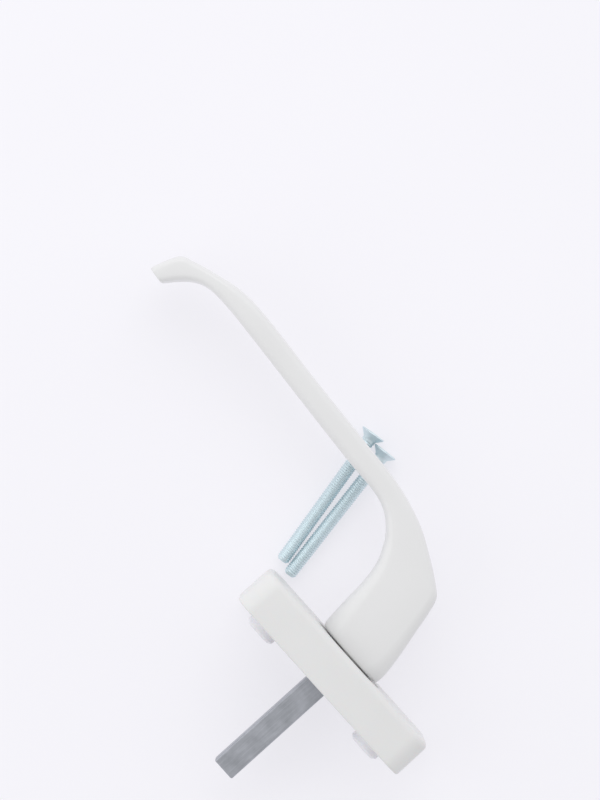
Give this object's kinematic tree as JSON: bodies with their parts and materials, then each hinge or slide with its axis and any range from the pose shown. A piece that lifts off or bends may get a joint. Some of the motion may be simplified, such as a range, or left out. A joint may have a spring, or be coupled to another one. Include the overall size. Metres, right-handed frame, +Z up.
{
  "type": "tilt turn handle",
  "caption": "Cranked white window handle on a rosette with a square drive spindle, a hidden four-position detent and loose countersunk fixing screws.",
  "frame": {"origin": "centre of the rosette's mounting face, on the axis of the square spindle", "axes": "+X towards the lever's tip in the closed position, +Y into the sash along the spindle, +Z up across the handle"},
  "size_m": [0.1487, 0.0941, 0.03],
  "materials": {
    "white_coat": "satin",
    "white_plastic": "satin",
    "grey_plastic": "matte",
    "zinc_casting": "satin",
    "plain_steel": "satin",
    "dark_steel": "satin",
    "spring_steel": "satin",
    "blue_zinc": "satin"
  },
  "bodies": {
    "base": {"base_plate": "grey_plastic", "backing_plate": "plain_steel", "bearing_bush": "grey_plastic", "neck_ring": "white_plastic", "rivet_left": "plain_steel", "rivet_right": "plain_steel", "detent_spring_left": "spring_steel", "detent_spring_right": "spring_steel", "spring_plug_left": "plain_steel", "spring_plug_right": "plain_steel"},
    "handle": {"lever": "white_coat", "spindle": "dark_steel", "spindle_pin": "spring_steel", "detent_disc": "zinc_casting", "thrust_washer": "plain_steel", "wave_washer": "spring_steel", "circlip": "spring_steel"},
    "cover": {"rosette_cover": "white_plastic"},
    "ball_left": {"detent_ball_left": "spring_steel"},
    "ball_right": {"detent_ball_right": "spring_steel"},
    "screw_left": {"fixing_screw_left": "blue_zinc"},
    "screw_right": {"fixing_screw_right": "blue_zinc"}
  },
  "joints": [
    {"name": "handle_turn", "type": "hinge", "parent": "base", "child": "handle", "pos_m": [0, 0, 0], "axis": [0, -1, 0], "range_deg": [0, 180]},
    {"name": "cover_lift", "type": "slide", "parent": "base", "child": "cover", "axis": [0, -1, 0], "range_m": [0, 0.0015]},
    {"name": "ball_left_travel", "type": "slide", "parent": "base", "child": "ball_left", "axis": [0.8192, 0, 0.5736], "range_m": [-0.0008, 0], "stiffness_N_per_m": 400, "springref_m": -0.0025, "deforming": ["detent_spring_left"]},
    {"name": "ball_right_travel", "type": "slide", "parent": "base", "child": "ball_right", "axis": [-0.8192, 0, -0.5736], "range_m": [-0.0008, 0], "stiffness_N_per_m": 400, "springref_m": -0.0025, "deforming": ["detent_spring_right"]},
    {"name": "screw_left_roll", "type": "slide", "parent": "base", "child": "screw_left", "axis": [1, 0, 0], "range_m": [0, 0.008]},
    {"name": "screw_right_roll", "type": "slide", "parent": "base", "child": "screw_right", "axis": [-1, 0, 0], "range_m": [0, 0.008]}
  ]
}
